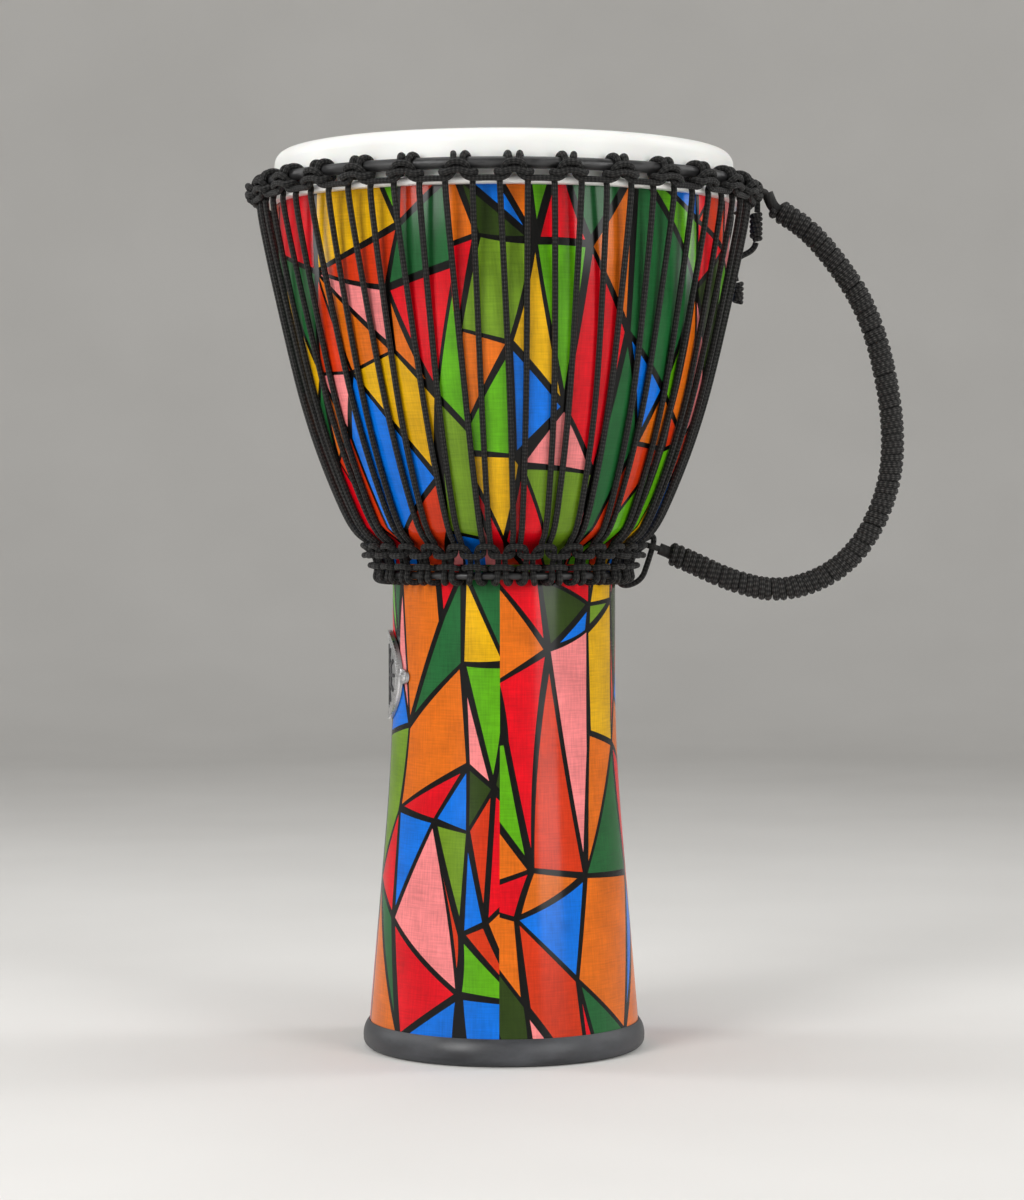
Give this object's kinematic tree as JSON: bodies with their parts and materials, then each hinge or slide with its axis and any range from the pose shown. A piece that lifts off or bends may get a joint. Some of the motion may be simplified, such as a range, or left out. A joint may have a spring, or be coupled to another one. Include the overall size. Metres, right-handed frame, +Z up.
{
  "type": "djembe",
  "caption": "Rope-tuned goblet hand drum with a printed shell, a white head held by a laced crown ring, a rubber foot rim and a swinging rope handle.",
  "frame": {"origin": "centre of the foot's bore, in the face the drum stands on", "axes": "+Z up the drum's axis to the head, +X towards the carrying handle, -Y the front"},
  "size_m": [0.452, 0.3534, 0.61],
  "materials": {
    "shell": "satin",
    "printed_wrap": "multicoloured print under a glossy clear coat",
    "rim_rubber": "satin",
    "head_film": "satin",
    "hoop_white": "gloss",
    "ring_steel": "plain",
    "ring_sleeve": "satin",
    "rope_black": "braided",
    "badge_metal": "satin",
    "badge_dark": "satin",
    "rivet_steel": "polished"
  },
  "bodies": {
    "drum": {"shell": "shell", "bowl_wrap": "printed_wrap", "foot_wrap": "printed_wrap", "foot_rim": "rim_rubber", "head_skin": "head_film", "flesh_hoop": "hoop_white", "crown_ring": "ring_steel", "crown_ring_sleeve": "ring_sleeve", "lower_ring": "ring_steel", "lower_ring_sleeve": "ring_sleeve", "top_loops": "rope_black", "lower_loops": "rope_black", "lacing": "rope_black", "handle_top_lashing": "rope_black", "handle_lower_lashing": "rope_black", "lashing_tail": "rope_black", "tail_knots": "rope_black", "badge_plate": "badge_metal", "badge_rim": "badge_metal", "badge_emblem": "badge_dark", "badge_rivets": "rivet_steel", "rivet_washers": "rivet_steel"},
    "handle": {"handle_core": "rope_black", "handle_wrap": "rope_black"}
  },
  "joints": [
    {"name": "handle_swing", "type": "hinge", "parent": "drum", "child": "handle", "pos_m": [0.10231, 0.00895, 0.342], "axis": [0.2868, -0.0093, 0.9579], "range_deg": [-45, 45]}
  ]
}
